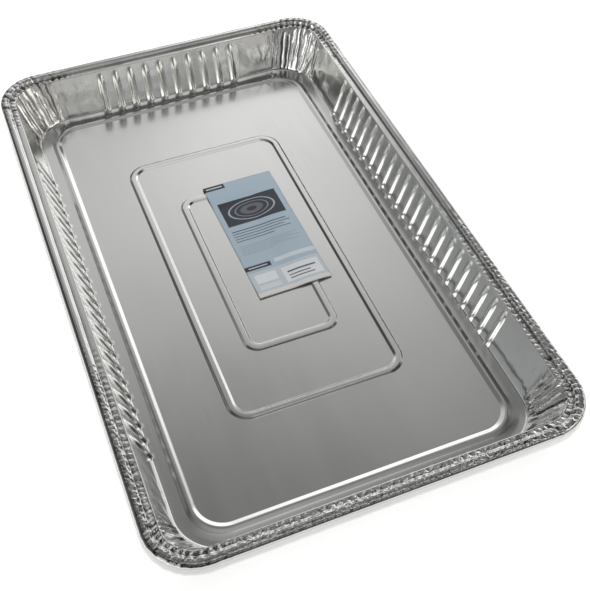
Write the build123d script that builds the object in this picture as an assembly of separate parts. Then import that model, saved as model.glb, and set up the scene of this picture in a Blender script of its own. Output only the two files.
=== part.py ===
from build123d import *
import math
import os

os.makedirs("parts", exist_ok=True)

# Foil tray, full-size catering format, pressed from one sheet of aluminium.
# X is the short side, Y the long side, Z up. Origin: centre of the footprint,
# on the plane the tray stands on. All sizes in millimetres.

# ---- driving dimensions ----------------------------------------------------
WIDTH = 325.0            # over the curled rim, short side
LENGTH = 527.0           # over the curled rim, long side
HEIGHT = 42.0            # standing plane to the crest of the rim
FOIL = 0.4               # drawn gauge of the sheet

RIM_CORNER_R = 38.0      # plan radius of the rim's outer edge
LEDGE_DROP = 3.7         # ledge below the crest of the rim
MOUTH_IN = 14.4          # outer edge of the rim to the mouth of the tray
MOUTH_CORNER_R = 23.6    # plan radius of the mouth
BASE_IN = 26.3           # outer edge of the rim to the foot of the wall
BASE_CORNER_R = 34.0     # plan radius at the foot of the wall
SKIRT = 10.4             # outer face of the curled rim, crest to lowest point
CURL_R = 1.9             # bend at the bottom of the curl

RIDGE_H = 1.2            # floor ridges above the floor
RIDGE_SLOPE = 0.9        # plan width of a ridge's flank
# half width, half length, corner radius of each ridge's outer and inner foot
RIDGES = [
    (125.6, 226.6, 27.0, 118.0, 219.0, 20.0),
    (72.3, 148.0, 18.0, 64.5, 140.6, 11.0),
    (40.2, 91.4, 13.0, 32.6, 83.7, 6.5),
]

RIB_R = 3.0              # wall ribs, half-round, pressed inward
RIB_TOP = 6.4            # top of a rib below the crest of the rim
SHORT_RIBS, SHORT_PITCH = 10, 14.4
LONG_RIBS, LONG_PITCH = 23, 13.7

LABEL_W, LABEL_L, LABEL_T = 64.0, 139.0, 0.3
LABEL_X, LABEL_Y, LABEL_TURN = 18.7, 28.0, 1.2

# ---- derived ---------------------------------------------------------------
HW, HL = WIDTH / 2, LENGTH / 2
LEDGE_Z = HEIGHT - LEDGE_DROP
FLOOR_Z = FOIL
DRAFT = (BASE_IN - MOUTH_IN) / (LEDGE_Z - FLOOR_Z)     # inward run per mm of fall
SIDE_T = FOIL * math.hypot(1.0, DRAFT)                 # gauge measured level
TILT = math.degrees(math.atan(DRAFT))


def rounded(half_w, half_l, radius, z):
    return Plane.XY.offset(z) * RectangleRounded(2 * half_w, 2 * half_l, radius)


def wall_in(z):
    """Outer edge of the rim to the wall's inner face at height z."""
    return MOUTH_IN + (LEDGE_Z - z) * DRAFT


def tub(z_low, z_high, grow):
    """Solid inside the tray's walls between two heights, grown level by grow."""
    faces = []
    for z in (z_low, z_high):
        e = wall_in(z) - grow
        k = (LEDGE_Z - z) / (LEDGE_Z - FLOOR_Z)
        r = MOUTH_CORNER_R + (BASE_CORNER_R - MOUTH_CORNER_R) * k + grow
        faces.append(rounded(HW - e, HL - e, r, z))
    return loft(faces, ruled=True)


def ridge(spec, z_foot, z_top, trim):
    """Flat-topped ridge that follows a rounded rectangle on the floor."""
    ow, ol, orad, iw, il, irad = spec
    s, t = RIDGE_SLOPE, trim
    outer = loft([rounded(ow - t, ol - t, orad - t, z_foot),
                  rounded(ow - s - t, ol - s - t, orad - s - t, z_top)], ruled=True)
    inner = loft([rounded(iw + t, il + t, irad + t, z_foot),
                  rounded(iw + s + t, il + s + t, irad + s + t, z_top)], ruled=True)
    return outer - inner


def rib(radius):
    """Half-round rib on the +X wall at y = 0, leaning with the wall."""
    top_z = HEIGHT - RIB_TOP - RIB_R
    foot = Vector(HW - wall_in(-2.0), 0, -2.0)
    head = Vector(HW - wall_in(top_z), 0, top_z)
    axis = head - foot
    rod = Plane(origin=foot, z_dir=axis) * Cylinder(
        radius, axis.length, align=(Align.CENTER, Align.CENTER, Align.MIN))
    return rod + Pos(head.X, head.Y, head.Z) * Sphere(radius)


def all_ribs(radius):
    one = rib(radius)
    out = []
    for i in range(LONG_RIBS):
        y = (i - (LONG_RIBS - 1) / 2) * LONG_PITCH
        out.append(Pos(0, y, 0) * one)
        out.append(Pos(0, y, 0) * Rot(0, 0, 180) * one)
    for i in range(SHORT_RIBS):
        x = (i - (SHORT_RIBS - 1) / 2) * SHORT_PITCH
        shift = HL - HW
        out.append(Pos(x, shift, 0) * Rot(0, 0, 90) * one)
        out.append(Pos(x, -shift, 0) * Rot(0, 0, -90) * one)
    return out


# ---- floor and walls -------------------------------------------------------
cavity = tub(FLOOR_Z, HEIGHT, 0.0)
body = tub(0.0, LEDGE_Z, SIDE_T)
cavity = cavity - all_ribs(RIB_R)
body = body - all_ribs(RIB_R - FOIL)
for spec in RIDGES:
    cavity = cavity - ridge(spec, FLOOR_Z, FLOOR_Z + RIDGE_H, 0.0)
    body = body - ridge(spec, 0.0, RIDGE_H, FOIL * 0.45)
shell = body - cavity

# ---- ledge, rim and curl ---------------------------------------------------
# Profile in (distance in from the outer edge, height), run round the mouth.
g = FOIL / 2
profile = [
    (MOUTH_IN - g, LEDGE_Z - g, 0.0),
    (9.9, LEDGE_Z - g, 0.7),
    (8.6, HEIGHT - g, 1.3),
    (g, HEIGHT - g, 2.8),
    (g, HEIGHT - SKIRT + g, CURL_R),
    (g + 2 * CURL_R + 0.3, HEIGHT - SKIRT + g, CURL_R),
    (g + 2 * CURL_R + 0.3, HEIGHT - SKIRT + 3.2, 0.0),
]


def offset_side(points, d):
    """Vertices and bend radii of the profile moved d to its left."""
    segs = []
    for (x0, y0, _), (x1, y1, _) in zip(points, points[1:]):
        n = math.hypot(x1 - x0, y1 - y0)
        nx, ny = -(y1 - y0) / n * d, (x1 - x0) / n * d
        segs.append((x0 + nx, y0 + ny, x1 + nx, y1 + ny))
    out = [(segs[0][0], segs[0][1], 0.0)]
    for i in range(1, len(points) - 1):
        ax, ay, bx, by = segs[i - 1]
        cx, cy, ex, ey = segs[i]
        ux, uy, vx, vy = bx - ax, by - ay, ex - cx, ey - cy
        den = ux * vy - uy * vx
        k = ((cx - ax) * vy - (cy - ay) * vx) / den
        turn = 1.0 if den > 0 else -1.0
        out.append((ax + ux * k, ay + uy * k, points[i][2] - turn * d))
    out.append((segs[-1][2], segs[-1][3], 0.0))
    return out


def bent(points, plane_point):
    """Lines and arcs through the vertices, rounded at each bend."""
    edges, last = [], points[0][:2]
    for i in range(1, len(points) - 1):
        px, py, r = points[i]
        ax, ay = points[i - 1][0] - px, points[i - 1][1] - py
        bx, by = points[i + 1][0] - px, points[i + 1][1] - py
        la, lb = math.hypot(ax, ay), math.hypot(bx, by)
        ax, ay, bx, by = ax / la, ay / la, bx / lb, by / lb
        half = math.acos(max(-1, min(1, ax * bx + ay * by))) / 2
        cut = r / math.tan(half)
        p, q = (px + ax * cut, py + ay * cut), (px + bx * cut, py + by * cut)
        mx, my = ax + bx, ay + by
        lm = math.hypot(mx, my)
        far = r / math.sin(half) - r
        m = (px + mx / lm * far, py + my / lm * far)
        edges.append(Line(plane_point(last), plane_point(p)))
        edges.append(ThreePointArc(plane_point(p), plane_point(m), plane_point(q)))
        last = q
    edges.append(Line(plane_point(last), plane_point(points[-1][:2])))
    return edges


def rim_face():
    """The rim's section on the +X side, in the plane y = 0."""
    at = lambda p: (HW - p[0], 0.0, p[1])
    left, right = offset_side(profile, g), offset_side(profile, -g)
    edges = bent(left, at) + bent(right, at)
    edges.append(Line(at(left[0][:2]), at(right[0][:2])))
    edges.append(Line(at(left[-1][:2]), at(right[-1][:2])))
    return make_face(Wire.combine([e.edge() if hasattr(e, "edge") else e for e in edges], tol=1e-4)[0])


section = rim_face()
straight_l = HL - RIM_CORNER_R
straight_w = HW - RIM_CORNER_R
side_x = extrude(Pos(0, -straight_l, 0) * section, amount=2 * straight_l, dir=(0, 1, 0))
turned = Pos(HL - HW, 0, 0) * section
side_y = extrude(Rot(0, 0, 90) * (Pos(0, -straight_w, 0) * turned), amount=2 * straight_w, dir=(-1, 0, 0))
corner = revolve(Pos(0, straight_l, 0) * section,
                 Axis((straight_w, straight_l, 0), (0, 0, 1)), 90)
rim = [side_x, mirror(side_x, Plane.YZ), side_y, mirror(side_y, Plane.XZ), corner,
       mirror(corner, Plane.YZ), mirror(corner, Plane.XZ), mirror(mirror(corner, Plane.YZ), Plane.XZ)]

tray = shell
for piece in rim:
    tray = tray + piece
tray = tray.clean()
print("tray solids", len(tray.solids()), "volume", tray.volume, "bbox", tray.bounding_box())

# ---- paper label, lying on the ridges of the floor -------------------------
label = Box(LABEL_W, LABEL_L, LABEL_T, align=(Align.CENTER, Align.CENTER, Align.MIN))
label = Pos(LABEL_X, LABEL_Y, FLOOR_Z + RIDGE_H) * Rot(0, 0, LABEL_TURN) * label

tray_solid = tray.solids().sort_by(SortBy.VOLUME)[-1]
tray_solid.label = "foil_tray"
tray_solid.color = Color(0.80, 0.80, 0.80)
label_solid = label.solids()[0]
label_solid.label = "paper_label"
label_solid.color = Color(0.72, 0.78, 0.83)
export_step(tray_solid, "parts/foil_tray.step")
export_step(label_solid, "parts/paper_label.step")
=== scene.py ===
import bpy, math
import numpy as np
from mathutils import Matrix, Vector


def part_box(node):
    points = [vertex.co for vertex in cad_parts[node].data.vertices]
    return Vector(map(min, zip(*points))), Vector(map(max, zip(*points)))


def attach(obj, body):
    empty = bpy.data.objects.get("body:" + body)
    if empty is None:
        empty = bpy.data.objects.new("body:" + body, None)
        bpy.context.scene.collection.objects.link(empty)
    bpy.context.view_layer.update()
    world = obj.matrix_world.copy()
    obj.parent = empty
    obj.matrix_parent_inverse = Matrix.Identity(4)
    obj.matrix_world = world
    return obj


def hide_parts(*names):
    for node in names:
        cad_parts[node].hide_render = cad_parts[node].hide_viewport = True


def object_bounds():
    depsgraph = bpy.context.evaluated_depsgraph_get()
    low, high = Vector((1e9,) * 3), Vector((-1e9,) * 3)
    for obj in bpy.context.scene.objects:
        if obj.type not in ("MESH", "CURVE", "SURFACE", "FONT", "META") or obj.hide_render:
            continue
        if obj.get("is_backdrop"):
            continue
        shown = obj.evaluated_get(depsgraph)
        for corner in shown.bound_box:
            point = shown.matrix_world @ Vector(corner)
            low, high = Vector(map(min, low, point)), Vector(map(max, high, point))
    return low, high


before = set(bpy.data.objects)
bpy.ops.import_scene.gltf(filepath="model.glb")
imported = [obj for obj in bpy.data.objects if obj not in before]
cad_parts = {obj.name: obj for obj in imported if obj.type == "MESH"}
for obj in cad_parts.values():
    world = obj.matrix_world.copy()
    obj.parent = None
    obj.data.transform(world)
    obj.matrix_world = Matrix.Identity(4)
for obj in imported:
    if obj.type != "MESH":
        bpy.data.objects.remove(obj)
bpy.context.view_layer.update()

MM = 0.001
sc = bpy.context.scene
(x0, y0, z0), (x1, y1, z1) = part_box("foil_tray")
HW, HL, H = (x1 - x0) / 2 / MM, (y1 - y0) / 2 / MM, z1 / MM

# ---------------------------------------------------------------- dimensions (mm)
RIM_R = 38.0
LEDGE_DROP = 3.7
MOUTH_IN, MOUTH_R = 14.4, 23.6
BASE_IN, BASE_R = 26.3, 34.0
FLOOR = 0.4
RIDGE_H = 1.15
FLANKS = (3.5, 2.3, 1.9)            # width of each raised line's slopes
STRIP_LO, STRIP_HI = -0.04, 0.04    # the strip between the foot and the outer line leans a little
RIDGES = [(126.4, 227.4, 27.8, 118.0, 219.0, 20.0),
          (72.3, 148.0, 18.0, 64.5, 140.6, 11.0),
          (40.2, 91.4, 13.0, 32.6, 83.7, 6.5)]
LONG_N, LONG_P, SHORT_N, SHORT_P = 23, 13.7, 10, 14.4
RIB_TOP, RIB_HALF, RIB_H = 6.4, 3.0, 2.3
Y0, X0 = 199.0, 98.0           # where the corner stations begin
LEDGE_Z = H - LEDGE_DROP


def smooth(a, b, x):
    t = np.clip((x - a) / (b - a), 0.0, 1.0)
    return t * t * (3 - 2 * t)


# ---------------------------------------------------------------- stations round the tray
def straight(n_rib, pitch, end, step):
    """Positions along one side from -end to +end, dense at the ribs."""
    half = n_rib * pitch / 2
    offs = np.array([0, 1.05, 2.0, 2.8, 3.6, 5.0])
    offs = np.concatenate([-offs[:0:-1], offs])
    pts = []
    for i in range(n_rib):
        c = (i - (n_rib - 1) / 2) * pitch
        pts += list(c + offs) + ([c + pitch / 2] if i < n_rib - 1 else [])
    n = int(round((end - half) / step))
    rest = half + (end - half) * np.arange(0, n + 1) / n
    pts = list(-rest[::-1]) + pts + list(rest)
    return np.array(pts)


def build_stations(corner_n, *sides):
    """Each station: (side, kind, value). Order runs anticlockwise from the +X side."""
    st = []
    counts = corner_n if isinstance(corner_n, tuple) else (corner_n,) * 4
    for side in range(4):
        pts = sides[side % len(sides)]
        for p in pts:
            st.append((side, 0, p))
        for k in range(1, counts[side]):
            st.append((side, 1, k / counts[side]))
    return np.array(st)


def ring(stations, hx, hy, r, z):
    """Points of one rounded rectangle at the stations."""
    out = np.zeros((len(stations), 3))
    side, kind, val = stations[:, 0].astype(int), stations[:, 1].astype(int), stations[:, 2]
    for s in range(4):
        long_side = s % 2 == 0
        a, b = (hx, hy) if long_side else (hy, hx)      # a: out from centre, b: along the side
        A, B = (Y0, X0) if long_side else (X0, Y0)
        m = (side == s) & (kind == 0)
        p = np.stack([np.full(m.sum(), a), val[m]], 1)
        m2 = (side == s) & (kind == 1)
        l1, l2 = b - r - A, r * math.pi / 2
        l3 = a - r - B
        d = val[m2] * (l1 + l2 + l3)
        q = np.zeros((m2.sum(), 2))
        c1 = d <= l1
        q[c1] = np.stack([np.full(c1.sum(), a), A + d[c1]], 1)
        c2 = (d > l1) & (d <= l1 + l2)
        t = (d[c2] - l1) / r
        q[c2] = np.stack([a - r + r * np.cos(t), b - r + r * np.sin(t)], 1)
        c3 = d > l1 + l2
        q[c3] = np.stack([a - r - (d[c3] - l1 - l2), np.full(c3.sum(), b)], 1)
        ca, sa = [(1, 0), (0, 1), (-1, 0), (0, -1)][s]
        for mask, w in ((m, p), (m2, q)):
            out[mask, 0] = ca * w[:, 0] - sa * w[:, 1]
            out[mask, 1] = sa * w[:, 0] + ca * w[:, 1]
    out[:, 2] = z
    return out


def fillet_path(verts, res):
    """Sampled path through (e, z, bend radius, samples on the leg that follows)."""
    pts = [verts[0][:2]]
    for i in range(1, len(verts) - 1):
        p = np.array(verts[i][:2]); r = verts[i][2]
        a = np.array(verts[i - 1][:2]) - p; b = np.array(verts[i + 1][:2]) - p
        a /= np.linalg.norm(a); b /= np.linalg.norm(b)
        half = math.acos(np.clip(a @ b, -1, 1)) / 2
        cut = r / math.tan(half)
        s, e = p + a * cut, p + b * cut
        n = verts[i - 1][3]
        last = np.array(pts[-1])
        for k in range(1, n + 1):
            pts.append(tuple(last + (s - last) * k / n))
        mid = (a + b) / np.linalg.norm(a + b)
        c = p + mid * (r / math.sin(half))
        a0 = math.atan2(*(s - c)[::-1]); a1 = math.atan2(*(e - c)[::-1])
        da = (a1 - a0 + math.pi) % (2 * math.pi) - math.pi
        m = max(2, int(math.ceil(abs(da) / res)))
        for k in range(1, m + 1):
            t = a0 + da * k / m
            pts.append((c[0] + r * math.cos(t), c[1] + r * math.sin(t)))
    n = verts[-2][3]
    last = np.array(pts[-1]); end = np.array(verts[-1][:2])
    for k in range(1, n + 1):
        pts.append(tuple(last + (end - last) * k / n))
    return np.array(pts)


# ---------------------------------------------------------------- noise helpers
def crease_line(length, lo, hi, seed, sharp=1.0):
    """Random zigzag heights round a closed length: returns f(s)."""
    g = np.random.default_rng(seed)
    steps = g.uniform(lo, hi, int(length / lo) + 2)
    pos = np.cumsum(steps)
    pos = pos[pos < length - lo * 0.6]
    hts = g.uniform(0.35, 1.0, len(pos)) * np.where(np.arange(len(pos)) % 2 == 0, 1, -1)
    pos = np.concatenate([[0], pos, [length]]); hts = np.concatenate([[0], hts, [0]])
    return lambda s: np.interp(np.mod(s, length), pos, hts)


def facets(u, v, seed, n=9, lo=3.0, hi=9.0, spread=math.pi):
    """Crumpled-sheet height: folds along random lines, each warping the next."""
    g = np.random.default_rng(seed)
    h = np.zeros_like(u)
    wu, wv = u.copy(), v.copy()
    for k in range(n):
        a = g.uniform(0, spread)
        lam = g.uniform(lo, hi)
        ph = g.uniform(0, 1)
        t = (wu * math.cos(a) + wv * math.sin(a)) / lam + ph
        tri = np.abs((t % 1.0) - 0.5) * 2 - 0.5
        amp = lam / hi
        h += tri * amp
        wu = wu + tri * lam * 0.35 * math.sin(a + 1.1)
        wv = wv + tri * lam * 0.35 * math.cos(a + 1.1)
    return h / math.sqrt(n)


def waves(x, y, seed, lams, n=6):
    g = np.random.default_rng(seed)
    h = np.zeros_like(x)
    for lam in lams:
        for k in range(n):
            a = g.uniform(0, math.pi); ph = g.uniform(0, 2 * math.pi)
            h += np.sin((x * math.cos(a) + y * math.sin(a)) * 2 * math.pi / (lam * g.uniform(.8, 1.25)) + ph) / n
    return h


# ---------------------------------------------------------------- the tray's rings
def strip_z(e):
    """Height of the strip round the floor, over FLOOR, at e in from the outline."""
    return STRIP_LO + (STRIP_HI - STRIP_LO) * np.clip((e - BASE_IN - 2.0) / 8.6, 0, 1)


def spans(*parts):
    """Positions along a side: (from, to, step) spans joined end to end."""
    pts = [parts[0][0]]
    for lo, hi, step in parts:
        n = max(1, int(round((hi - lo) / step)))
        pts += list(lo + (hi - lo) * np.arange(1, n + 1) / n)
    return np.array(pts)


# close together where the foil is crumpled, wide apart where it is plain; the tray stays under 200,000 triangles in all
long_pts = straight(LONG_N, LONG_P, Y0, 1.3)
short_pts = straight(SHORT_N, SHORT_P, X0, 1.2)
ST_TUB = build_stations(106, long_pts, short_pts)
ST_RIM = build_stations((112, 112, 140, 140), spans((-Y0, -60, 0.92), (-60, 150, 3.5), (150, Y0, 1.4)), spans((-X0, -68, 1.2), (-68, 68, 4.0), (68, X0, 1.2)),
                        spans((-Y0, -175, 1.4), (-175, 70, 3.5), (70, Y0, 1.0)), spans((-X0, X0, 0.88)))

# rim: from the hidden edge of the curl, up the skirt, over the crest and the ledge, to the mouth
rim_verts = [(4.9, H - 7.6, 0, 1), (4.9, H - 11.2, 1.8, 1), (0.0, H - 11.2, 1.6, 6),
             (1.4, H - 1.6, 1.4, 1), (3.1, H, 1.7, 3), (6.6, H, 1.6, 2), (8.8, H - 0.9, 0.8, 1), (9.8, LEDGE_Z, 0.7, 4),
             (MOUTH_IN - 0.75, LEDGE_Z, 0, 0)]
rim_path = fillet_path(rim_verts, 0.62)
# tub: mouth edge, wall, foot
draft = (BASE_IN - MOUTH_IN) / (LEDGE_Z - FLOOR)
tub_verts = [(MOUTH_IN - 0.75, LEDGE_Z, 0, 1), (MOUTH_IN, LEDGE_Z, 0.7, 16), (BASE_IN, FLOOR, 2.0, 1), (BASE_IN + 4.0, FLOOR, 0, 0)]
tub_path = fillet_path(tub_verts, 0.34)


def path_rings(path, st):
    rings = []
    for e, z in path:
        if e <= MOUTH_IN - 0.7 or z >= LEDGE_Z - 0.01:
            r = RIM_R - e
        else:
            k = np.clip((LEDGE_Z - z) / (LEDGE_Z - FLOOR), 0, 1)
            r = MOUTH_R + (BASE_R - MOUTH_R) * k
            if e > BASE_IN:
                r = BASE_R + (27.0 - BASE_R) * (e - BASE_IN) / (36.9 - BASE_IN)
        rings.append(ring(st, HW - e, HL - e, r, z))
    return np.array(rings)


def grid_normals(P):
    du = np.roll(P, -1, axis=1) - np.roll(P, 1, axis=1)
    dv = np.gradient(P, axis=0)
    n = np.cross(dv, du)
    return n / np.maximum(np.linalg.norm(n, axis=2, keepdims=True), 1e-9)


def up_normals(P, row):
    n = grid_normals(P)
    return -n if n[row, :, 2].mean() < 0 else n


def along(mouth):
    """Length round the mouth and how crumpled each station is."""
    seg = np.linalg.norm(np.roll(mouth, -1, axis=0) - mouth, axis=1)
    s = np.concatenate([[0], np.cumsum(seg)[:-1]])
    mx, my = mouth[:, 0], mouth[:, 1]
    cx, cy = HW - RIM_R, HL - RIM_R
    on_short = (np.abs(my) > HL - MOUTH_IN - 1.5) & (np.abs(mx) < cx)
    on_long = (np.abs(mx) > HW - MOUTH_IN - 1.5) & (np.abs(my) < cy)
    dc = np.where(on_short, cx - np.abs(mx), np.where(on_long, cy - np.abs(my), 0.0))
    near, right = my < 0, mx > 0
    reach = np.where(on_short & near, 900.0, np.where(on_short, 40.0, np.where(near, np.where(right, 230.0, 170.0), np.where(right, 70.0, 46.0))))
    corner = 1 - smooth(0, 24.0, dc)
    rim = (1 - smooth(reach * 0.45, reach, dc)) * 0.92 + 0.08
    return s, seg.sum(), dc, corner, rim, near, right, on_short


def ridges_at(length, pos, half, hts):
    """Narrow peaks at pos with half widths and heights, as a function table."""
    xs = np.stack([pos - half, pos, pos + half], 1).ravel()
    ys = np.stack([np.zeros_like(hts), hts, np.zeros_like(hts)], 1).ravel()
    xs = np.maximum.accumulate(xs)
    return np.concatenate([[0], xs, [length]]), np.concatenate([[0], ys, [0]])


# ---- rim: pleats across the ledge and crest, small crumples all over
G = path_rings(rim_path, ST_RIM)
n_rim = len(rim_path)
NRM = up_normals(G, n_rim - 1)
S, PERIM, DC, M_CORNER, M_RIM, NEAR, RIGHT, ON_SHORT = along(G[-1])
dl = np.concatenate([[0], np.cumsum(np.linalg.norm(np.diff(rim_path, axis=0), axis=1))])
t2 = np.broadcast_to((dl[-1] - dl)[:, None], (n_rim, len(S)))       # distance outwards from the seam
s2 = np.broadcast_to(S, t2.shape)
T_LEDGE, T_TOP, T_SKIRT = 3.6, 13.0, 24.4
pleat_a = crease_line(PERIM, 1.5, 3.6, 11)
pleat_b = crease_line(PERIM, 1.6, 3.9, 12)
pleat_c = crease_line(PERIM, 2.0, 5.2, 13)
ledge_w = 1 - smooth(T_LEDGE, T_LEDGE + 3.6, t2)
top_w = smooth(T_LEDGE + 0.6, T_LEDGE + 4.0, t2) * (1 - smooth(T_TOP - 1.6, T_TOP + 1.0, t2))
skirt_w = smooth(T_TOP + 0.5, T_TOP + 3.0, t2) * (1 - smooth(T_SKIRT, T_SKIRT + 3.0, t2))
p1 = pleat_a(s2 + 0.12 * t2); p2 = pleat_b(s2 - 0.18 * t2); p3 = pleat_c(s2 + 0.40 * t2)
fac = facets(s2, t2 * 1.05, 31, n=8, lo=2.2, hi=5.4)
fac2 = facets(s2 + 50, t2 * 1.3, 32, n=7, lo=1.8, hi=3.2)
m_rim, m_cor = M_RIM[None, :], M_CORNER[None, :]
p1c = pleat_a(s2 - 0.10 * t2 + 0.25 * fac)          # in the corners one set of pleats runs right across
in_cor = np.clip(m_cor * 1.15, 0, 1)
d = (ledge_w * ((0.45 * p1 * (1 - in_cor) + 0.95 * p1c * in_cor) * np.maximum(m_rim, m_cor) + (0.60 * fac + 0.30 * fac2) * m_rim * (1 - 0.75 * in_cor))
     + top_w * (0.20 * p2 * m_rim + (0.62 * p1c + 0.34 * p3) * in_cor + (0.85 * fac + 0.45 * fac2) * m_rim * (1 - 0.55 * in_cor))
     + skirt_w * (0.26 * p3 * m_cor + 0.16 * fac * (0.16 * m_rim + 0.9 * m_cor) + 0.10 * fac2 * m_cor))
CREASES = d.copy()


def line_at(t, w):
    """A fine pressed line along the whole rim at distance t from the seam."""
    return np.exp(-((t2 - t) / w) ** 2)


wander = 0.35 * waves(s2, s2 * 0, 6, (26.0, 60.0))
LEFT = 1 - smooth(-HW + 6.0, -HW + 30.0, G[:, :, 0])
GROOVES = (1.0 * line_at(T_LEDGE + 0.9 + wander * 0.4, 0.85 + 0.45 * LEFT) * (1 - 0.55 * in_cor) + 1.0 * line_at(T_TOP + 1.2 - 1.1 * LEFT, 0.95 + 0.5 * LEFT)
           + 0.50 * line_at(8.0 + wander, 0.5) + 0.55 * line_at(10.8 - wander, 0.45))
SKIRT_LINES = line_at(T_TOP + 3.9, 0.45) + line_at(T_TOP + 6.6, 0.45)
d = d - 0.26 * GROOVES - 0.20 * SKIRT_LINES
# the pressed rim is never quite straight: long low ripples, and two fine rolled lines on the skirt
d = d + 0.13 * waves(s2, t2 * 2.5, 5, (30.0, 75.0)) * (0.35 + 0.65 * top_w) * (1 - ledge_w * 0.5)
d = d + 0.30 * line_at(T_TOP + 3.1, 0.7) + 0.26 * line_at(T_TOP + 5.8, 0.7)
d = np.where(d > 0, d * smooth(0.0, 2.8, t2), d * smooth(0.0, 1.4, t2))
V = G + NRM * d[:, :, None]
V[:, :, 0] = np.clip(V[:, :, 0], -HW, HW)
V[:, :, 1] = np.clip(V[:, :, 1], -HL, HL)
V[:, :, 2] = np.clip(V[:, :, 2], 0.05, H)
V[-1] = G[-1]
# painted shade on the outer skirt below the crest: strongest just under the crest, fading down the skirt, heavier on
# its two pressed lines
SKIRT_SHADE_PAINT = smooth(T_TOP + 1.6, T_TOP + 2.8, t2) * (0.34 - 0.14 * smooth(T_TOP + 2.0, T_SKIRT, t2) + 0.45 * SKIRT_LINES)
# painted shade on the ledge and crest: near-black mixed in along the pleat valleys and pressed grooves (the grooves
# widen along the left side), plus a light darkening all over
RIM_SHADE_PAINT = np.clip((smooth(0.05, 0.80, -CREASES) * 0.88 + GROOVES * 0.90 + 0.08) * (1 - smooth(T_TOP + 1.6, T_TOP + 2.8, t2)) + SKIRT_SHADE_PAINT, 0, 1)
RIM_V, RIM_CR = V, np.broadcast_to(np.clip(M_RIM * 0.9 + M_CORNER * 0.3, 0, 1), t2.shape)

# ---- walls: folds that run from the mouth to the foot in the corners
G = path_rings(tub_path, ST_TUB)
n_tub = len(tub_path)
NRM = up_normals(G, 0)
S, PERIM, DC, M_CORNER, M_RIM, NEAR, RIGHT, ON_SHORT = along(G[0])
dl = np.concatenate([[0], np.cumsum(np.linalg.norm(np.diff(tub_path, axis=0), axis=1))])
w2 = np.broadcast_to(dl[:, None], (n_tub, len(S)))
s2 = np.broadcast_to(S, w2.shape)
w_end = dl[-1] - 4.5
wv = np.clip(w2 / w_end, 0, 1)
base_fade = 1 - smooth(0.93, 1.02, w2 / w_end)


def folds(lo, hi, seed, slant, top_amp, bot_amp, w_lo, w_hi, both=0.35):
    """Narrow folds from mouth to foot, each leaning and bending in its own way."""
    q = np.random.default_rng(seed)
    pos = np.cumsum(q.uniform(lo, hi, int(PERIM / lo) + 2)); pos = pos[pos < PERIM - hi]
    k = len(pos)
    hts = q.uniform(0.35, 1.0, k) * np.where(q.uniform(0, 1, k) < both, -0.7, 1.0)
    lean = q.uniform(-slant, slant, k); bend = q.uniform(-0.7, 0.7, k); ph = q.uniform(0, 6.28, k)
    half = q.uniform(w_lo, w_hi, k); start = q.uniform(-0.25, 0.3, k); stop = q.uniform(0.72, 1.3, k)
    out = np.zeros(w2.shape)
    for i in range(n_tub):
        v = wv[i, 0]
        pp = pos + lean * (v - 0.3) * (hi + lo) / 2 + bend * np.sin(v * 5.0 + ph) + 0.3 * np.sin(v * 17 + ph * 3)
        hh = hts * (top_amp * (1 - v) + bot_amp * v) * smooth(start - 0.15, start + 0.1, v) * (1 - smooth(stop - 0.2, stop, v))
        xs, ys = ridges_at(PERIM, pp, half * (0.7 + 0.6 * v), hh)
        out[i] = np.interp(S, xs, ys)
    return out


m_wall = 1 - smooth(6, 24.0, DC)
m_flat = 1 - smooth(22, 80.0, DC)
near_right = (NEAR & RIGHT) * 1.0
d_wall = folds(3.8, 7.6, 41, 1.2, 2.1, 1.9, 1.2, 2.5, 0.40) * m_wall * (1 + 0.45 * near_right)
d_wall = d_wall + folds(2.4, 5.0, 42, 1.3, 0.70, 0.30, 0.8, 1.5, 0.5) * m_wall
CREASES = d_wall.copy()
d_wall = d_wall + 0.50 * folds(9.0, 22.0, 43, 2.6, 0.6, 0.6, 1.2, 3.0) * m_flat * (1 - m_wall)
d_wall = d_wall + 0.55 * facets(s2, w2, 51, n=6, lo=9, hi=26) * (m_flat[None, :] * 0.85 + 0.05)
d_wall = d_wall + 0.24 * facets(s2, w2 * 0.45, 53, n=6, lo=3, hi=7) * m_wall[None, :]
d_wall = d_wall + 0.10 * waves(s2, w2 * 2, 52, (24.0, 60.0))
# the plain panels of the far wall bow in a little
PANEL = (~NEAR & ON_SHORT) * smooth(72.0, 84.0, np.abs(G[0][:, 0])) * (1 - smooth(108.0, 122.0, np.abs(G[0][:, 0]))) * np.where(G[0][:, 0] > 0, 1.0, 0.45)
d_wall = d_wall + 0.9 * np.sin(math.pi * np.clip(wv, 0, 1)) * PANEL
d_wall = d_wall * base_fade


# ---- wall ribs
def rib_field():
    out = np.zeros(w2.shape)
    side, kind, val = ST_TUB[:, 0].astype(int), ST_TUB[:, 1].astype(int), ST_TUB[:, 2]
    slope = np.hypot(1, draft)
    for i in range(n_tub):
        w_below = (H - RIB_TOP - tub_path[i, 1]) * slope - RIB_HALF       # below the round end's centre
        for s in range(4):
            n, p = (LONG_N, LONG_P) if s % 2 == 0 else (SHORT_N, SHORT_P)
            m = (side == s) & (kind == 0)
            v = val[m]
            k = np.clip(np.round(v / p + (n - 1) / 2), 0, n - 1)
            u = v - (k - (n - 1) / 2) * p
            dist = np.hypot(u, np.clip(-w_below, 0, None))
            out[i, m] = RIB_H * (0.5 + 0.5 * np.cos(math.pi * np.clip(dist / (RIB_HALF + 0.5), 0, 1))) ** 0.85 * (0.42 + 0.58 * smooth(-2.0, 8.0, w_below))
    foot = 1 - smooth(BASE_IN - 0.6, BASE_IN + 1.8, tub_path[:, 0])[:, None]
    return out * foot


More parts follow.
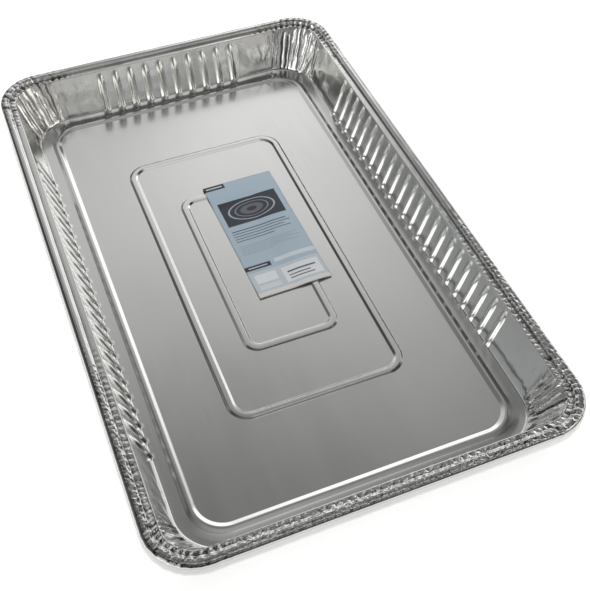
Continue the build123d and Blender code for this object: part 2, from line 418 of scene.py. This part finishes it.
RIBS = rib_field()
d_wall = d_wall * (1 - 0.8 * np.clip(RIBS, 0, 1)) + RIBS
d_wall = d_wall * smooth(0.0, 2.2, w2)
V = G + NRM * d_wall[:, :, None]
V[:, :, 2] = np.clip(V[:, :, 2], 0.05, H)
V[0] = G[0]
END_W = smooth(HL - 70.0, HL - 42.0, np.abs(V[:, :, 1]))        # it leans more at the two ends
V[:, :, 2] += ((STRIP_LO - 0.26 * END_W) * (1 - smooth(0.0, 3.0, V[:, :, 2] - FLOOR)) + np.clip(strip_z(tub_path[:, 0])[:, None] - STRIP_LO, 0, None))
V[-1, :, 2] = FLOOR + strip_z(BASE_IN + 4.0) - 0.26 * END_W[-1]
V[:, :, 2] = np.clip(V[:, :, 2], 0.05, H)
TUB_V, TUB_CR = V, np.broadcast_to(np.clip(m_wall, 0, 1)[None, :] * 0.7, w2.shape) * (1 - smooth(0.85, 1.0, wv))
# painted shade: near-black mixed into the corner walls, heavy in the fold valleys and lighter between the raised folds,
# fading out at the foot
TUB_SHADE_PAINT = np.clip(smooth(0.05, 0.9, -CREASES) * 0.80 + 0.26 * (1 - smooth(0.0, 0.8, CREASES)) * m_wall[None, :], 0, 1) * base_fade
TUB_SHADE_PAINT = np.clip(TUB_SHADE_PAINT, 0, 1)

# ---------------------------------------------------------------- floor rings
FST = build_stations(40, np.linspace(-Y0, Y0, 31), np.linspace(-X0, X0, 19))

NF = len(FST)


def floor_rings():
    """(hx, hy, r, height over the floor) from the foot of the wall to the middle."""
    e = BASE_IN + 4.0
    rings = [(HW - e, HL - e, BASE_R + (27.0 - BASE_R) * 4.0 / 10.6, strip_z(e))]
    prev = rings[0]
    prof_t = np.array([0, .06, .15, .50, .85, .94, 1.0])
    prof_h = np.array([0, .018, .09, .50, .91, .982, 1.0])
    for j, (ow, ol, orad, iw, il, irad) in enumerate(RIDGES):
        n_between = 3 if j == 0 else 5
        for k in range(1, n_between):
            t = k / n_between
            rings.append((prev[0] + (ow - prev[0]) * t, prev[1] + (ol - prev[1]) * t, prev[2] + (orad - prev[2]) * t,
                          strip_z(HW - (prev[0] + (ow - prev[0]) * t)) if j == 0 else 0.0))
        toe = STRIP_HI if j == 0 else 0.0
        for t, h in zip(prof_t, prof_h):
            o = FLANKS[j] * t
            rings.append((ow - o, ol - o, orad - o, toe + (RIDGE_H - toe) * h))
        mid = ((ow + iw) / 2, (ol + il) / 2, (orad + irad) / 2)
        rings.append((*mid, RIDGE_H * 1.04))
        for t, h in zip(prof_t[::-1], prof_h[::-1]):
            o = FLANKS[j] * t
            rings.append((iw + o, il + o, irad + o, RIDGE_H * h))
        prev = rings[-1]
    for k in range(1, 7):
        t = k / 7
        rings.append((prev[0] + (3.0 - prev[0]) * t, prev[1] + (55.0 - prev[1]) * t, prev[2] + (2.0 - prev[2]) * t, 0.0))
    return rings


def ring_any(stations, hx, hy, r, z):
    """As ring(), for rings smaller than the corner stations' start."""
    out = np.zeros((len(stations), 3))
    side, kind, val = stations[:, 0].astype(int), stations[:, 1].astype(int), stations[:, 2]
    for s in range(4):
        long_side = s % 2 == 0
        a, b = (hx, hy) if long_side else (hy, hx)
        A, B = (Y0, X0) if long_side else (X0, Y0)
        end_a = min(A, (b - r) * 0.985) if b - r < A + 2 else A
        end_b = min(B, (a - r) * 0.985) if a - r < B + 2 else B
        m = (side == s) & (kind == 0)
        p = np.stack([np.full(m.sum(), a), val[m] / A * end_a], 1)
        m2 = (side == s) & (kind == 1)
        l1, l2, l3 = b - r - end_a, r * math.pi / 2, a - r - end_b
        dd = val[m2] * (l1 + l2 + l3)
        q = np.zeros((m2.sum(), 2))
        c1 = dd <= l1
        q[c1] = np.stack([np.full(c1.sum(), a), end_a + dd[c1]], 1)
        c2 = (dd > l1) & (dd <= l1 + l2)
        t = (dd[c2] - l1) / r
        q[c2] = np.stack([a - r + r * np.cos(t), b - r + r * np.sin(t)], 1)
        c3 = dd > l1 + l2
        q[c3] = np.stack([a - r - (dd[c3] - l1 - l2), np.full(c3.sum(), b)], 1)
        ca, sa = [(1, 0), (0, 1), (-1, 0), (0, -1)][s]
        for mask, w in ((m, p), (m2, q)):
            out[mask, 0] = ca * w[:, 0] - sa * w[:, 1]
            out[mask, 1] = sa * w[:, 0] + ca * w[:, 1]
    out[:, 2] = z
    return out


def floor_wave(x, y):
    edge = np.minimum(HW - BASE_IN - np.abs(x), HL - BASE_IN - np.abs(y))
    k = smooth(3.0, 26.0, edge)
    return k * (0.10 * waves(x, y, 61, (150.0, 90.0), 5) + 0.03 * waves(x, y * 0.4, 62, (34.0,), 6))


FR = floor_rings()
F = np.array([ring_any(FST, *f) for f in FR])
F[:, :, 2] += FLOOR
heights = np.array([f[3] for f in FR])
n_strip = int(np.argmax(heights > STRIP_HI + 0.02))
tilt = np.where(np.arange(len(FR)) < n_strip, (heights - heights[0]) / (STRIP_HI - heights[0]), np.clip(1 - (heights - STRIP_HI) / (RIDGE_H - STRIP_HI), 0, 1) * (np.arange(len(FR)) < n_strip + 7))
SHORT_W = smooth(HL - 70.0, HL - 42.0, np.abs(F[:, :, 1]))
F[:, :, 2] += (0.66 * tilt[:, None] - 0.26 * (np.arange(len(FR)) < n_strip)[:, None]) * SHORT_W
row = np.arange(len(FR))[:, None]
F[1:, :, 2] += floor_wave(F[1:, :, 0], F[1:, :, 1])
F[:, :, 2] = np.maximum(F[:, :, 2], 0.08)


# ---------------------------------------------------------------- build the meshes
def add_mesh(name, verts, faces, mat, normals=None, uvs=None):
    me = bpy.data.meshes.new(name)
    me.from_pydata([tuple(v) for v in np.asarray(verts) * MM], [], faces)
    me.validate()
    me.polygons.foreach_set("use_smooth", [True] * len(me.polygons))
    if uvs is not None:
        lay = me.uv_layers.new(name="UVMap")
        idx = np.zeros(len(me.loops), dtype=np.int32)
        me.loops.foreach_get("vertex_index", idx)
        lay.data.foreach_set("uv", np.asarray(uvs)[idx].astype(np.float32).ravel())
    me.materials.append(mat)
    me.update()
    if normals is not None:
        me.normals_split_custom_set_from_vertices([tuple(n) for n in normals])
    ob = bpy.data.objects.new(name, me)
    sc.collection.objects.link(ob)
    return ob


def grid_faces(rows, n, first=0, flip=False):
    i = np.arange(rows - 1)[:, None] * n
    j = np.arange(n)[None, :]
    j2 = (j + 1) % n
    a, b, c, e = i + j, i + j2, i + n + j2, i + n + j
    q = np.stack([a, b, c, e] if not flip else [e, c, b, a], -1).reshape(-1, 4) + first
    return q.tolist()


# ---------------------------------------------------------------- materials
def nodes_of(name):
    m = bpy.data.materials.new(name)
    m.use_nodes = True
    nt = m.node_tree
    bs = nt.nodes["Principled BSDF"]
    return m, nt, bs


def foil_material():
    m, nt, bs = nodes_of("bright_foil")
    N_, L = nt.nodes.new, nt.links.new
    bs.inputs["Metallic"].default_value = 1.0
    bs.inputs["Anisotropic"].default_value = 0.25
    tc = N_("ShaderNodeTexCoord")

    def noise(scale, detail, stretch=None, rough=0.55):
        n = N_("ShaderNodeTexNoise"); n.inputs["Detail"].default_value = detail; n.inputs["Roughness"].default_value = rough
        if stretch is None:
            n.inputs["Scale"].default_value = scale; L(tc.outputs["Object"], n.inputs["Vector"])
        else:
            mp = N_("ShaderNodeMapping"); mp.inputs["Scale"].default_value = stretch
            n.inputs["Scale"].default_value = scale
            L(tc.outputs["Object"], mp.inputs["Vector"]); L(mp.outputs["Vector"], n.inputs["Vector"])
        return n.outputs["Fac"]

    def ranged(src, a, b, c, d_):
        n = N_("ShaderNodeMapRange")
        n.inputs["From Min"].default_value = a; n.inputs["From Max"].default_value = b
        n.inputs["To Min"].default_value = c; n.inputs["To Max"].default_value = d_
        L(src, n.inputs["Value"]); return n.outputs["Result"]

    def calc(op, *args):
        n = N_("ShaderNodeMath"); n.operation = op
        for k, a in enumerate(args):
            if isinstance(a, (int, float)):
                n.inputs[k].default_value = a
            else:
                L(a, n.inputs[k])
        return n.outputs["Value"]

    streak = noise(1.0, 4.0, (700.0, 5.0, 50.0), 0.6)        # rolling lines along the sheet
    cloud = noise(1.0, 4.0, (22.0, 6.0, 18.0))               # broad change of polish
    grain = noise(500.0, 2.0)
    at = N_("ShaderNodeAttribute"); at.attribute_name = "crumple"
    cr = at.outputs["Fac"]
    # roughness: satin on the flats, brighter where the foil is creased
    r0 = calc("ADD", ranged(cloud, 0.3, 0.7, 0.125, 0.185), calc("MULTIPLY", streak, 0.04))
    L(calc("SUBTRACT", r0, calc("MULTIPLY", cr, 0.075)), bs.inputs["Roughness"])
    tone = calc("ADD", calc("MULTIPLY", streak, 0.30), calc("MULTIPLY", cloud, 0.70))
    ramp = N_("ShaderNodeValToRGB")
    ramp.color_ramp.elements[0].position = 0.32; ramp.color_ramp.elements[0].color = (0.812, 0.816, 0.797, 1)
    ramp.color_ramp.elements[1].position = 0.68; ramp.color_ramp.elements[1].color = (0.880, 0.885, 0.866, 1)
    L(tone, ramp.inputs["Fac"])
    # painted shade: a per-vertex value mixes the foil colour toward near-black (up to 93%) in creases, grooves and on
    # the skirt
    shade_attr_node = N_("ShaderNodeAttribute"); shade_attr_node.attribute_name = "painted_shade"
    shade_mix_node = N_("ShaderNodeMix"); shade_mix_node.data_type = "RGBA"
    L(calc("MULTIPLY", shade_attr_node.outputs["Fac"], 0.93), shade_mix_node.inputs[0])
    L(ramp.outputs["Color"], shade_mix_node.inputs[6]); shade_mix_node.inputs[7].default_value = (0.030, 0.029, 0.028, 1)
    L(shade_mix_node.outputs[2], bs.inputs["Base Color"])
    # relief: rolling lines, then fine facets where the foil is crumpled
    b1 = N_("ShaderNodeBump"); b1.inputs["Strength"].default_value = 0.05; b1.inputs["Distance"].default_value = 0.00005
    L(streak, b1.inputs["Height"])
    vo = N_("ShaderNodeTexVoronoi"); vo.feature = "F1"; vo.distance = "CHEBYCHEV"; vo.inputs["Scale"].default_value = 620.0
    wob = N_("ShaderNodeTexNoise"); wob.inputs["Scale"].default_value = 260.0; wob.inputs["Detail"].default_value = 2.0
    L(tc.outputs["Object"], wob.inputs["Vector"])
    mixv = N_("ShaderNodeMix"); mixv.data_type = "VECTOR"; mixv.inputs[0].default_value = 0.004
    L(tc.outputs["Object"], mixv.inputs[4]); L(wob.outputs["Color"], mixv.inputs[5])
    L(mixv.outputs[1], vo.inputs["Vector"])
    b2 = N_("ShaderNodeBump"); b2.inputs["Distance"].default_value = 0.00045
    L(calc("MULTIPLY", cr, 0.25), b2.inputs["Strength"])
    L(vo.outputs["Distance"], b2.inputs["Height"]); L(b1.outputs["Normal"], b2.inputs["Normal"])
    b3 = N_("ShaderNodeBump"); b3.inputs["Strength"].default_value = 0.01; b3.inputs["Distance"].default_value = 0.0001
    L(grain, b3.inputs["Height"]); L(b2.outputs["Normal"], b3.inputs["Normal"])
    L(b3.outputs["Normal"], bs.inputs["Normal"])
    return m


foil = foil_material()

def wound_up(P, row):
    a, b, c = P[row, 0], P[row, 1], P[row + 1, 1]
    return np.cross(b - a, c - b)[2] < 0


def point_attr(ob, name, values):
    """Per-vertex value read by the finish: crumple = how creased, painted_shade = how much painted shade darkens the
    base colour in creases, grooves and on the skirt.
    """
    at = ob.data.attributes.new(name, "FLOAT", "POINT")
    at.data.foreach_set("value", np.asarray(values, dtype=np.float32))


NR, NT = len(ST_RIM), len(ST_TUB)
flip = wound_up(RIM_V, n_rim - 2)
rim_faces = grid_faces(n_rim, NR, 0, flip)
first_tub = n_rim * NR

# walls plus floor
flip = wound_up(TUB_V, n_tub - 2)
TN = up_normals(TUB_V, n_tub - 1)
TN[-1] = (0, 0, 1)
verts, norms = [TUB_V.reshape(-1, 3)], [TN.reshape(-1, 3)]
faces = grid_faces(n_tub, NT, 0, flip)
first = n_tub * NT
rowsW, N, ST = n_tub, NT, ST_TUB
FN = up_normals(F, 0)
FN[0] = (0, 0, 1)
verts.append(F.reshape(-1, 3)); norms.append(FN.reshape(-1, 3))
ff = grid_faces(len(F), NF, first, flip)
# join the dense foot of the wall to the sparser floor: floor ring 0 shares the line of the wall's last ring
def key(st, total):
    return st[:, 0] * 10 + np.where(st[:, 1] == 0, (st[:, 2] / np.where(st[:, 0] % 2 == 0, Y0, X0) + 1) * 2.0, 5.0 + st[:, 2] * 4.9)


ka, kb = key(ST, N), key(FST, NF)
last = (rowsW - 1) * N
ia, ib = 0, 0
join = []
while ia < N or ib < NF:
    va, vb = last + ia % N, first + ib % NF
    na = ka[ia + 1] if ia + 1 < N else (1e6 if ia + 1 > N else 40.0)
    nb = kb[ib + 1] if ib + 1 < NF else (1e6 if ib + 1 > NF else 40.0)
    if (na <= nb and ia < N) or ib >= NF:
        join.append([va, last + (ia + 1) % N, vb]); ia += 1
    else:
        join.append([va, first + (ib + 1) % NF, vb]); ib += 1
if flip:
    join = [t[::-1] for t in join]
# the middle of the floor: a strip across the last small ring
lr = first + (len(F) - 1) * NF
half = NF // 2
cap = []
for k in range(1, half):
    a1, a2 = lr + k, lr + k + 1
    b1, b2 = lr + (NF - k) % NF, lr + (NF - k - 1) % NF
    if a2 == b2:
        cap.append([a1, a2, b1])
    else:
        cap.append([a1, a2, b2, b1])
cap.append([lr, lr + 1, lr + NF - 1])
if flip:
    cap = [t[::-1] for t in cap]
tub_faces = [[v + first_tub for v in f] for f in faces + ff + join + cap]
tray = add_mesh("foil_sheet", np.concatenate([RIM_V.reshape(-1, 3)] + verts), rim_faces + tub_faces, foil,
                np.concatenate([up_normals(RIM_V, n_rim - 1).reshape(-1, 3)] + norms))
point_attr(tray, "crumple", np.concatenate([RIM_CR.ravel(), TUB_CR.ravel(), np.zeros(len(F) * NF)]))
point_attr(tray, "painted_shade", np.concatenate([RIM_SHADE_PAINT.ravel(), TUB_SHADE_PAINT.ravel(), np.zeros(len(F) * NF)]))
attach(tray, "root")
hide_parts("foil_tray")

# ---------------------------------------------------------------- label
(lx0, ly0, lz0), (lx1, ly1, lz1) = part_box("paper_label")
LW, LL, TURN = 64.0, 139.0, math.radians(1.2)
LX, LY = (lx0 + lx1) / 2 / MM, (ly0 + ly1) / 2 / MM
nu, nv = 49, 97
uu, vv = np.meshgrid(np.linspace(0, 1, nu), np.linspace(0, 1, nv))     # v: 0 near, 1 far
px, py = (uu - 0.5) * LW, (vv - 0.5) * LL
wx, wy = LX + px * math.cos(TURN) - py * math.sin(TURN), LY + px * math.sin(TURN) + py * math.cos(TURN)


def round_rect(x, y, hx, hy, r):
    """Distance outside (+) or inside (-) a rounded rectangle about the middle."""
    qx, qy = np.abs(x) - (hx - r), np.abs(y) - (hy - r)
    return np.hypot(np.clip(qx, 0, None), np.clip(qy, 0, None)) + np.minimum(np.maximum(qx, qy), 0) - r


ow, ol, orad, iw, il, irad = RIDGES[2]
off_band = np.maximum(round_rect(wx, wy, ow, ol, orad), -round_rect(wx, wy, iw, il, irad))
# the sheet lies on the floor and bends over the innermost raised line; its near end lifts a little
lift = 0.14 + (RIDGE_H + 0.06) * (1 - smooth(0.0, 17.0, off_band))
lift += 1.1 * np.clip(1 - vv / 0.30, 0, 1) ** 2 * (0.55 + 0.45 * (1 - uu))
lift += 0.5 * np.clip((uu - 0.8) / 0.2, 0, 1) ** 2 * np.clip((vv - 0.55) / 0.45, 0, 1)
top = np.stack([wx, wy, FLOOR + floor_wave(wx, wy) + lift + 0.12], -1)
bot = top.copy(); bot[:, :, 2] -= 0.12
lv = np.concatenate([top.reshape(-1, 3), bot.reshape(-1, 3)])
lf, nt_ = [], nu * nv
for j in range(nv - 1):
    for i in range(nu - 1):
        a = j * nu + i
        lf.append([a, a + 1, a + nu + 1, a + nu])
        lf.append([nt_ + a + nu, nt_ + a + nu + 1, nt_ + a + 1, nt_ + a])
for i in range(nu - 1):
    lf.append([i, nt_ + i, nt_ + i + 1, i + 1])
    a = (nv - 1) * nu + i
    lf.append([a, a + 1, nt_ + a + 1, nt_ + a])
for j in range(nv - 1):
    a = j * nu
    lf.append([a, a + nu, nt_ + a + nu, nt_ + a])
    a = j * nu + nu - 1
    lf.append([a, nt_ + a, nt_ + a + nu, a + nu])
luv = np.concatenate([np.stack([uu, vv], -1).reshape(-1, 2)] * 2)


def label_material():
    m, nt, bs = nodes_of("label_print")
    N_, L = nt.nodes.new, nt.links.new
    uv = N_("ShaderNodeUVMap"); uv.uv_map = "UVMap"
    sx = N_("ShaderNodeSeparateXYZ"); L(uv.outputs["UV"], sx.inputs["Vector"])
    U, Vv = sx.outputs["X"], sx.outputs["Y"]

    def math_(op, *args):
        n = N_("ShaderNodeMath"); n.operation = op
        for k, a in enumerate(args):
            if isinstance(a, (int, float)):
                n.inputs[k].default_value = a
            else:
                L(a, n.inputs[k])
        return n.outputs["Value"]

    def rect(u0, u1, v0, v1):
        a = math_("COMPARE", U, (u0 + u1) / 2, (u1 - u0) / 2)
        b = math_("COMPARE", Vv, (v0 + v1) / 2, (v1 - v0) / 2)
        return math_("MULTIPLY", a, b)

    # field: pale blue grey, a little lighter towards the far end
    ramp = N_("ShaderNodeValToRGB")
    ramp.color_ramp.elements[0].color = (0.335, 0.415, 0.480, 1)
    ramp.color_ramp.elements[1].color = (0.355, 0.450, 0.525, 1)
    L(Vv, ramp.inputs["Fac"])
    col = ramp.outputs["Color"]

    def paint(mask, rgb):
        nonlocal col
        mx = N_("ShaderNodeMix"); mx.data_type = "RGBA"
        L(mask, mx.inputs[0]); L(col, mx.inputs[6]); mx.inputs[7].default_value = (*rgb, 1)
        col = mx.outputs[2]

    dark, ink, pale, white = (0.027, 0.032, 0.041), (0.06, 0.08, 0.11), (0.50, 0.55, 0.58), (0.62, 0.64, 0.65)
    # small dark tab at the far left corner, with a bare slot
    paint(rect(0.0, 0.30, 0.955, 1.0), dark)
    paint(rect(0.035, 0.265, 0.972, 0.983), pale)
    # dark panel with plain rings
    paint(rect(0.08, 0.92, 0.615, 0.83), dark)
    du = math_("MULTIPLY", math_("SUBTRACT", U, 0.5), LW / 1.0)
    dv = math_("MULTIPLY", math_("SUBTRACT", Vv, 0.722), LL / 1.0)
    rr = math_("SQRT", math_("ADD", math_("MULTIPLY", math_("MULTIPLY", du, 0.55), math_("MULTIPLY", du, 0.55)), math_("MULTIPLY", dv, dv)))
    for r0, w, c in ((11.5, 0.45, (0.34, 0.37, 0.40)), (8.3, 0.35, (0.20, 0.22, 0.25)), (4.2, 1.6, (0.11, 0.12, 0.14))):
        paint(math_("COMPARE", rr, r0, w), c)
    # text-like rules
    for k, (u1, t) in enumerate(((0.86, .004), (0.90, .003), (0.80, .003), (0.88, .003), (0.62, .003))):
        v = 0.565 - 0.022 * k
        paint(rect(0.08, u1, v - t, v + t), ink)
    for k, u1 in enumerate((0.90, 0.84, 0.91, 0.76, 0.88, 0.52)):
        v = 0.432 - 0.0145 * k
        paint(rect(0.08, u1, v - 0.0016, v + 0.0016), (0.20, 0.25, 0.30))
    # pale band, dark bar and two white chips at the near end
    paint(rect(0.0, 1.0, 0.0, 0.205), (0.44, 0.50, 0.54))
    paint(rect(0.42, 1.0, 0.240, 0.272), (0.52, 0.57, 0.60))
    paint(rect(0.0, 1.0, 0.0, 0.036), (0.60, 0.59, 0.585))
    paint(rect(0.0, 0.36, 0.226, 0.262), dark)
    paint(rect(0.05, 0.31, 0.240, 0.248), pale)
    paint(rect(0.44, 0.95, 0.056, 0.180), white)
    paint(rect(0.50, 0.89, 0.128, 0.140), ink)
    paint(rect(0.50, 0.80, 0.100, 0.108), ink)
    paint(rect(0.50, 0.84, 0.076, 0.084), ink)
    paint(rect(0.07, 0.36, 0.110, 0.180), white)
    paint(rect(0.07, 0.36, 0.056, 0.092), (0.54, 0.57, 0.60))
    # paper: slight mottling and fibre
    tc = N_("ShaderNodeTexCoord")
    nz = N_("ShaderNodeTexNoise"); nz.inputs["Scale"].default_value = 900.0; nz.inputs["Detail"].default_value = 4.0
    L(tc.outputs["Object"], nz.inputs["Vector"])
    mr = N_("ShaderNodeMapRange"); mr.inputs["To Min"].default_value = 0.94; mr.inputs["To Max"].default_value = 1.04
    L(nz.outputs["Fac"], mr.inputs["Value"])
    vm = N_("ShaderNodeVectorMath"); vm.operation = "SCALE"
    L(col, vm.inputs[0]); L(mr.outputs["Result"], vm.inputs["Scale"])
    L(vm.outputs["Vector"], bs.inputs["Base Color"])
    rr2 = N_("ShaderNodeMapRange"); rr2.inputs["To Min"].default_value = 0.32; rr2.inputs["To Max"].default_value = 0.44
    L(nz.outputs["Fac"], rr2.inputs["Value"]); L(rr2.outputs["Result"], bs.inputs["Roughness"])
    bp = N_("ShaderNodeBump"); bp.inputs["Strength"].default_value = 0.12; bp.inputs["Distance"].default_value = 0.0001
    L(nz.outputs["Fac"], bp.inputs["Height"]); L(bp.outputs["Normal"], bs.inputs["Normal"])
    return m


label = add_mesh("label_sheet", lv, lf, label_material(), uvs=luv)
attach(label, "root"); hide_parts("paper_label")

# ---------------------------------------------------------------- stage, light, camera
fm = bpy.data.meshes.new("stage_floor")
s_ = 30.0
fm.from_pydata([(-s_, -s_, 0), (s_, -s_, 0), (s_, s_, 0), (-s_, s_, 0)], [], [(0, 1, 2, 3)])
floor = bpy.data.objects.new("stage_floor", fm)
floor.location.z = -0.0002
sc.collection.objects.link(floor)
mf, ntf, bf = nodes_of("stage_pale")
bf.inputs["Base Color"].default_value = (0.88, 0.88, 0.88, 1)
bf.inputs["Roughness"].default_value = 0.9
bf.inputs["Emission Color"].default_value = (1, 1, 1, 1)
bf.inputs["Emission Strength"].default_value = 0.55
fm.materials.append(mf)
floor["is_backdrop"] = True

w = bpy.data.worlds.new("studio"); sc.world = w
w.use_nodes = True
nw = w.node_tree
bg = nw.nodes["Background"]
tcw = nw.nodes.new("ShaderNodeTexCoord")
sep = nw.nodes.new("ShaderNodeSeparateXYZ")
nw.links.new(tcw.outputs["Generated"], sep.inputs["Vector"])


def wmath(op, *args):
    n = nw.nodes.new("ShaderNodeMath"); n.operation = op
    for k, a in enumerate(args):
        if isinstance(a, (int, float)):
            n.inputs[k].default_value = a
        else:
            nw.links.new(a, n.inputs[k])
    return n.outputs["Value"]


# a pale horizon all round; above it a soft panel at the back right, dimmer overhead and behind the camera
def wramp(value, stops):
    n = nw.nodes.new("ShaderNodeValToRGB")
    cr = n.color_ramp
    cr.elements[0].position, cr.elements[0].color = stops[0][0], (*stops[0][1], 1)
    cr.elements[1].position, cr.elements[1].color = stops[-1][0], (*stops[-1][1], 1)
    for p, c in stops[1:-1]:
        e = cr.elements.new(p); e.color = (*c, 1)
    nw.links.new(value, n.inputs["Fac"])
    return n.outputs["Color"]


def grey(v, warm=0.0):
    return (v * (1 + warm), v, v * (1 - warm))


BACK = wramp(sep.outputs["Z"], [(0.0, grey(0.40)), (0.16, grey(0.42, .0)), (0.32, grey(0.95)), (0.52, grey(1.24)), (0.60, grey(0.80)), (0.68, grey(0.70)),
                                (0.76, grey(0.49, .005)), (0.82, grey(0.31, .01)), (0.87, grey(0.185, .01)), (0.915, grey(0.17, .01)), (1.0, grey(0.42))])
FRONT = wramp(sep.outputs["Z"], [(0.0, grey(0.45, .02)), (0.14, grey(0.40, .03)), (0.28, grey(0.31, .0)), (0.42, grey(0.16)), (0.56, grey(0.03)),
                                 (0.80, grey(0.07)), (0.90, grey(0.17)), (0.93, grey(0.19)), (1.0, grey(0.42))])
z2 = wmath("MULTIPLY", sep.outputs["Z"], sep.outputs["Z"])
hor = wmath("POWER", wmath("MAXIMUM", wmath("SUBTRACT", 1.0, z2), 0.05), 0.5)
side = wmath("DIVIDE", wmath("ADD", wmath("MULTIPLY", sep.outputs["X"], 0.50), wmath("MULTIPLY", sep.outputs["Y"], 0.86)), hor)
mr = nw.nodes.new("ShaderNodeMapRange"); mr.interpolation_type = "SMOOTHSTEP"
mr.inputs["From Min"].default_value = 0.42; mr.inputs["From Max"].default_value = 0.80
nw.links.new(side, mr.inputs["Value"])
mixw = nw.nodes.new("ShaderNodeMix"); mixw.data_type = "RGBA"
nw.links.new(mr.outputs["Result"], mixw.inputs[0]); nw.links.new(FRONT, mixw.inputs[6]); nw.links.new(BACK, mixw.inputs[7])


def window(prev, d_, c0, c1, col, squash=1.0):
    """A soft bright patch of sky about the direction d_."""
    v = Vector(d_).normalized()
    dot = wmath("ADD", wmath("ADD", wmath("MULTIPLY", sep.outputs["X"], v.x), wmath("MULTIPLY", sep.outputs["Y"], v.y)), wmath("MULTIPLY", sep.outputs["Z"], v.z))
    mw = nw.nodes.new("ShaderNodeMapRange"); mw.interpolation_type = "SMOOTHSTEP"
    mw.inputs["From Min"].default_value = c0; mw.inputs["From Max"].default_value = c1
    nw.links.new(dot, mw.inputs["Value"])
    mx = nw.nodes.new("ShaderNodeMix"); mx.data_type = "RGBA"
    nw.links.new(mw.outputs["Result"], mx.inputs[0]); nw.links.new(prev, mx.inputs[6]); mx.inputs[7].default_value = (*col, 1)
    return mx.outputs[2]


# the back panel ends on the right
xz = wmath("DIVIDE", sep.outputs["X"], wmath("MAXIMUM", sep.outputs["Z"], 0.02))
f_hi = wramp(xz, [(0.0, grey(0.78)), (0.10, grey(0.80)), (0.20, grey(0.87)), (0.34, grey(0.92)), (0.46, grey(0.83)), (0.545, grey(0.80)),
                  (0.595, grey(0.16)), (1.0, grey(0.14))])
f_lo = wramp(xz, [(0.0, grey(0.66)), (0.20, grey(0.75)), (0.40, grey(1.0)), (1.0, grey(1.0))])
mz = nw.nodes.new("ShaderNodeMapRange"); mz.interpolation_type = "SMOOTHSTEP"
mz.inputs["From Min"].default_value = 0.575; mz.inputs["From Max"].default_value = 0.63
nw.links.new(sep.outputs["Z"], mz.inputs["Value"])
mixf = nw.nodes.new("ShaderNodeMix"); mixf.data_type = "RGBA"
nw.links.new(mz.outputs["Result"], mixf.inputs[0]); nw.links.new(f_lo, mixf.inputs[6]); nw.links.new(f_hi, mixf.inputs[7])
fx = mixf.outputs[2]
mixe = nw.nodes.new("ShaderNodeMix"); mixe.data_type = "RGBA"; mixe.blend_type = "MULTIPLY"; mixe.inputs[0].default_value = 1.0
nw.links.new(mixw.outputs[2], mixe.inputs[6]); nw.links.new(fx, mixe.inputs[7])
gain = nw.nodes.new("ShaderNodeVectorMath"); gain.operation = "SCALE"; gain.inputs["Scale"].default_value = 1.22
nw.links.new(mixe.outputs[2], gain.inputs[0])
sky = window(gain.outputs[0], (0.03, 0.82, 0.57), 0.975, 0.997, (0.56, 0.56, 0.555))
sky = window(sky, (-0.84, 0.36, 0.40), 0.93, 0.985, (0.37, 0.38, 0.39))
sky = window(sky, (-0.86, -0.42, 0.27), 0.93, 0.975, (1.9, 1.9, 1.9))
sky = window(sky, (0.69, -0.60, 0.40), 0.935, 0.975, (1.55, 1.48, 1.40))
sky = window(sky, (0.19, -0.22, 0.955), 0.968, 0.990, (0.74, 0.74, 0.74))
nw.links.new(sky, bg.inputs["Color"])
bg.inputs["Strength"].default_value = 1.0


def area(name, loc, aim, size, power, col=(1, 1, 1)):
    ld = bpy.data.lights.new(name, "AREA")
    ld.shape = "RECTANGLE"; ld.size, ld.size_y = size
    ld.energy = power; ld.color = col
    o = bpy.data.objects.new(name, ld)
    o.location = loc
    o.rotation_euler = (Vector(aim) - Vector(loc)).to_track_quat("-Z", "Y").to_euler()
    o.visible_glossy = False
    sc.collection.objects.link(o)
    return o


area("key", (1.0, 1.2, 2.0), (0, 0, 0), (2.4, 2.0), 30.0)
area("fill", (-1.4, -0.9, 1.9), (0, 0, 0), (2.2, 2.0), 17.0)

# camera: the photograph's viewing angle
R = ((0.92784, -0.37297, 0.00360), (-0.28268, -0.70944, -0.64559), (0.24334, 0.59798, -0.76368))
C = (-0.17611, -0.52073, 0.56145 + 0.042)
F_PX = 969.6
cam = bpy.data.cameras.new("camera")
cam.sensor_fit = "HORIZONTAL"; cam.sensor_width = 36.0
cam.lens = 36.0 * F_PX / 590.0
cam.clip_start = 0.01; cam.clip_end = 50.0
co = bpy.data.objects.new("camera", cam)
r, dn, fw = (Vector(v).normalized() for v in R)
rot = Matrix((r, -dn, -fw)).transposed()
co.matrix_world = Matrix.Translation(Vector(C)) @ rot.to_4x4()
sc.collection.objects.link(co)
sc.camera = co
sc.view_settings.view_transform = "Standard"

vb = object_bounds()
